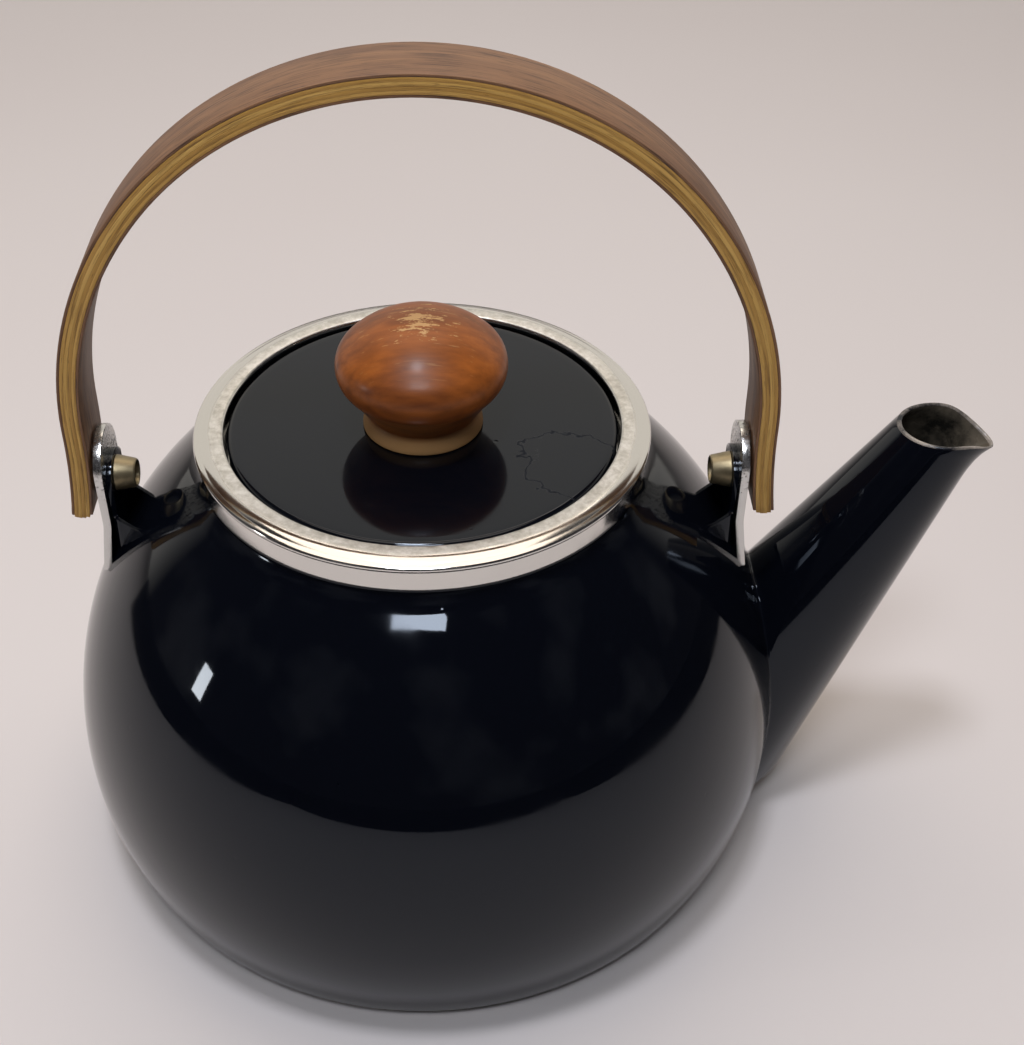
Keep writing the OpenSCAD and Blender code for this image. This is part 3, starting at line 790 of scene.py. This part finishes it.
def bent_ply(name, outer, inner, short, soften):
    """A rectangle at the right leg's end, spun through each arc of the hoop in turn."""
    middle = (outer + inner) / 2
    leg = math.asin((SIDE_Z - LEG_END - short) / (LEG_R + middle))
    start = Vector((HALF + LEG_R, 0, SIDE_Z))
    bpy.ops.object.select_all(action="DESELECT")
    bpy.ops.mesh.primitive_plane_add(size=1)
    piece = bpy.context.object
    piece.name = piece.data.name = name
    ends = [math.pi + math.asin((SIDE_Z - LEG_END - short) / (LEG_R + d)) for d in (outer, inner)]
    for vertex in piece.data.vertices:
        d, a = (outer, ends[0]) if vertex.co.x > 0 else (inner, ends[1])
        spot = start + (LEG_R + d) * Vector((math.cos(a), 0, math.sin(a)))
        vertex.co = (spot.x, vertex.co.y * STRIP_W * INSIDE_BOX, spot.z)
    bpy.ops.object.mode_set(mode="EDIT")
    bpy.ops.mesh.select_all(action="SELECT")
    crown_side = math.pi / 2 - CROWN
    swings = [(leg, (HALF + LEG_R, SIDE_Z), -1, 10), (crown_side, (-SIDE_X, SIDE_Z), 1, 26),
              (2 * CROWN, (0, ARCH_Z), 1, 60), (crown_side, (SIDE_X, SIDE_Z), 1, 26),
              (leg, (-HALF - LEG_R, SIDE_Z), -1, 10)]
    for angle, (cx, cz), way, steps in swings:
        bpy.ops.mesh.spin(steps=steps, angle=way * angle, center=(cx, 0, cz), axis=(0, 1, 0))
    bpy.ops.mesh.select_all(action="SELECT")
    bpy.ops.mesh.remove_doubles(threshold=2e-6)
    bpy.ops.mesh.normals_make_consistent(inside=False)
    bpy.ops.object.mode_set(mode="OBJECT")
    soft = piece.modifiers.new("sanded", "BEVEL")
    soft.width = soften
    soft.segments = 2
    soft.limit_method = "ANGLE"
    soft.angle_limit = math.radians(50)
    bpy.ops.object.modifier_apply(modifier="sanded")
    bpy.ops.object.shade_smooth_by_angle(angle=math.radians(40))
    grain = piece.data.attributes.new("grain", "FLOAT_VECTOR", "POINT")
    for vertex in piece.data.vertices:
        depth, run = depth_and_run(vertex.co.x, vertex.co.z)
        grain.data[vertex.index].vector = (run, vertex.co.y, depth)
    return piece


def veneer_look(name, dark, mid, light, seed):
    """Oiled veneer whose streaks run with the strip; grain holds run, width and depth."""
    look = new_material(name, IOR=1.5)
    grain = add_node(look, "ShaderNodeAttribute", {"attribute_name": "grain"}).outputs["Vector"]
    streak_at = stretched(look, grain, (85, 1500, 2300), shift=(seed, seed, seed))
    streaks = noise(look, streak_at, 1, 5, Roughness=0.62)
    bands = noise(look, stretched(look, grain, (16, 240, 700), shift=(seed, 0, seed)), 1, 3)
    pores = noise(look, stretched(look, grain, (260, 3400, 3400), shift=(0, seed, 0)), 1, 2)
    base = blend(look, ramp(look, bands, 0.3, 0.7), mid, light)
    lined = blend(look, ramp(look, streaks, 0.5, 0.68, 0.0, 0.85), base, dark)
    colour = blend(look, ramp(look, pores, 0.66, 0.74, 0.0, 0.7), lined, dark)
    rough = ramp(look, streaks, 0.0, 1.0, 0.42, 0.65)
    relief = bump(look, streaks, 0.35, 0.05 * MM)
    into_shader(look, Base_Color=colour, Roughness=rough, Normal=relief)
    return look


# Rotary-cut face veneer, stained red brown and oiled: fine dark lines along the strip.
face_wood = veneer_look("stained_face_veneer_oiled", "#33211A", "#66452F", "#866040", 3.0)
plies = [("face_outer", 0, FACE_T, face_wood)]
for n in range(4):
    # Core veneer under clear oil: golden olive, each layer a little different.
    tones = (("#73521F", "#B08439", "#C79C52"), ("#805E26", "#BD9143", "#D2A95C"),
             ("#6A4A1C", "#A67B33", "#BE9348"), ("#7A5828", "#B68A3F", "#CCA256"))[n]
    core = veneer_look("core_veneer_%d_oiled" % (n + 1), *tones, 11.0 + 7 * n)
    plies.append(("core_%d" % (n + 1), FACE_T + n * CORE_T, FACE_T + (n + 1) * CORE_T, core))
plies.append(("face_inner", STRIP_T - FACE_T, STRIP_T, face_wood))
# Sanding rounds the strip's ends, so the outer plies stop short and the middle ones hardly do.
SANDED_BACK = {"face_outer": 0.95 * MM, "core_1": 0.3 * MM, "core_4": 0.3 * MM,
               "face_inner": 0.95 * MM}
for part, outer, inner, wood in plies:
    is_face = part.startswith("face")
    ply = bent_ply("bentwood_" + part, outer, inner, SANDED_BACK.get(part, 0.05 * MM),
                   0.28 * MM if is_face else 0.07 * MM)
    ply.data.materials.append(wood)
    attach(ply, "handle")
    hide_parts("ply_" + part)

# ---------------------------------------------------------------------------
# Studio: a pale matt table and backdrop, a soft light overhead, a small lamp above the lid,
# windows in front and on the left, three low dark cards for the reflections, and the camera.

bpy.ops.object.select_all(action="DESELECT")
bpy.ops.mesh.primitive_plane_add(size=12)
table = bpy.context.object
table.name = "table"
# Pale laminate: matt, with a barely visible mottle.
laminate = new_material("pale_matt_laminate", Base_Color=linear("#D6D0CE"), Roughness=0.75,
                        Specular_IOR_Level=0.2)
mottling = noise(laminate, object_place(laminate), 3, 2)
into_shader(laminate, Base_Color=blend(laminate, mottling, "#D3CCCA", "#D9D4D2"))
table.data.materials.append(laminate)

# The room: dim in front of and above the kettle, a pale wall's worth of light behind it.
DIM, DIM_PATCH, PALE_WALL = (0.03, 0.028, 0.03, 1), (0.13, 0.125, 0.13, 1), (0.78, 0.73, 0.66, 1)
world = bpy.data.worlds.new("studio")
world.use_nodes = True
bpy.context.scene.world = world
toward = add_node(world, "ShaderNodeTexCoord").outputs["Generated"]
axes = add_node(world, "ShaderNodeSeparateXYZ", links={"Vector": toward})
behind = ramp(world, axes.outputs["Y"], 0.34, 0.52)
patch = ramp(world, noise(world, toward, 2.6, 2), 0.52, 0.68)
room = blend(world, behind, blend(world, patch, DIM, DIM_PATCH), PALE_WALL)
# What stands behind the kettle when it is looked at is a plain pale backdrop.
seen = add_node(world, "ShaderNodeLightPath").outputs["Is Camera Ray"]
backdrop = blend(world, seen, room, "#CFC8C3")
world.node_tree.links.new(backdrop, world.node_tree.nodes["Background"].inputs["Color"])


KETTLE_MIDDLE = Vector((0, 0, 0.08))


def softbox(name, location, width, height, watts, colour="#FFFFFF"):
    """An area light that faces the kettle."""
    lamp = bpy.data.lights.new(name, "AREA")
    lamp.shape = "RECTANGLE"
    lamp.size, lamp.size_y = width, height
    lamp.energy = watts
    lamp.color = linear(colour)[:3]
    holder = bpy.data.objects.new(name, lamp)
    holder.location = location
    aim = KETTLE_MIDDLE - Vector(location)
    holder.rotation_euler = aim.to_track_quat("-Z", "Y").to_euler()
    bpy.context.collection.objects.link(holder)
    return holder


softbox("overhead", (-0.05, 0.30, 1.30), 1.1, 1.1, 7.2, "#FFEEDC")
softbox("lamp_above", (-0.09, -0.20, 1.45), 0.20, 0.20, 7.0, "#F0F4FF")
softbox("front_window", (-0.05, -0.78, 1.45), 0.46, 0.30, 8, "#F2F6FF")
softbox("left_window", (-1.55, -0.40, 0.34), 0.12, 0.24, 1.6)


def low_flag(name, location, size):
    """A low dark card that only reflections see, where the table's far part would show."""
    bpy.ops.object.select_all(action="DESELECT")
    bpy.ops.mesh.primitive_cube_add(size=1, location=location, scale=size)
    card = bpy.context.object
    card.name = name
    card.data.materials.append(flag_cloth)
    card.visible_camera = card.visible_diffuse = card.visible_shadow = False


# Black felt: matt, with a trace of blue.
flag_cloth = new_material("black_felt", Base_Color=linear("#0A0B0E"), Roughness=1.0)
low_flag("flag_front", (0, -0.86, 0.05), (1.30, 0.01, 0.10))
for side, x in (("left", -0.65), ("right", 0.65)):
    low_flag("flag_" + side, (x, -0.31, 0.05), (0.01, 1.1, 0.10))

CAMERA_AT = (0.01267, -0.32984, 0.36514)
LENS_MM = 52.67
camera_data = bpy.data.cameras.new("camera")
camera_data.sensor_width = 36
camera_data.lens = LENS_MM
camera = bpy.data.objects.new("camera", camera_data)
camera.location = CAMERA_AT
forward = Vector((0.0261, 0.7747, -0.6318))
upward = Vector((0.0068, 0.6319, 0.7750))
rightward = forward.cross(upward).normalized()
upward = rightward.cross(forward).normalized()
camera.rotation_euler = Matrix((rightward, upward, -forward)).transposed().to_euler()
bpy.context.collection.objects.link(camera)
bpy.context.scene.camera = camera
bpy.context.scene.view_settings.view_transform = "Standard"
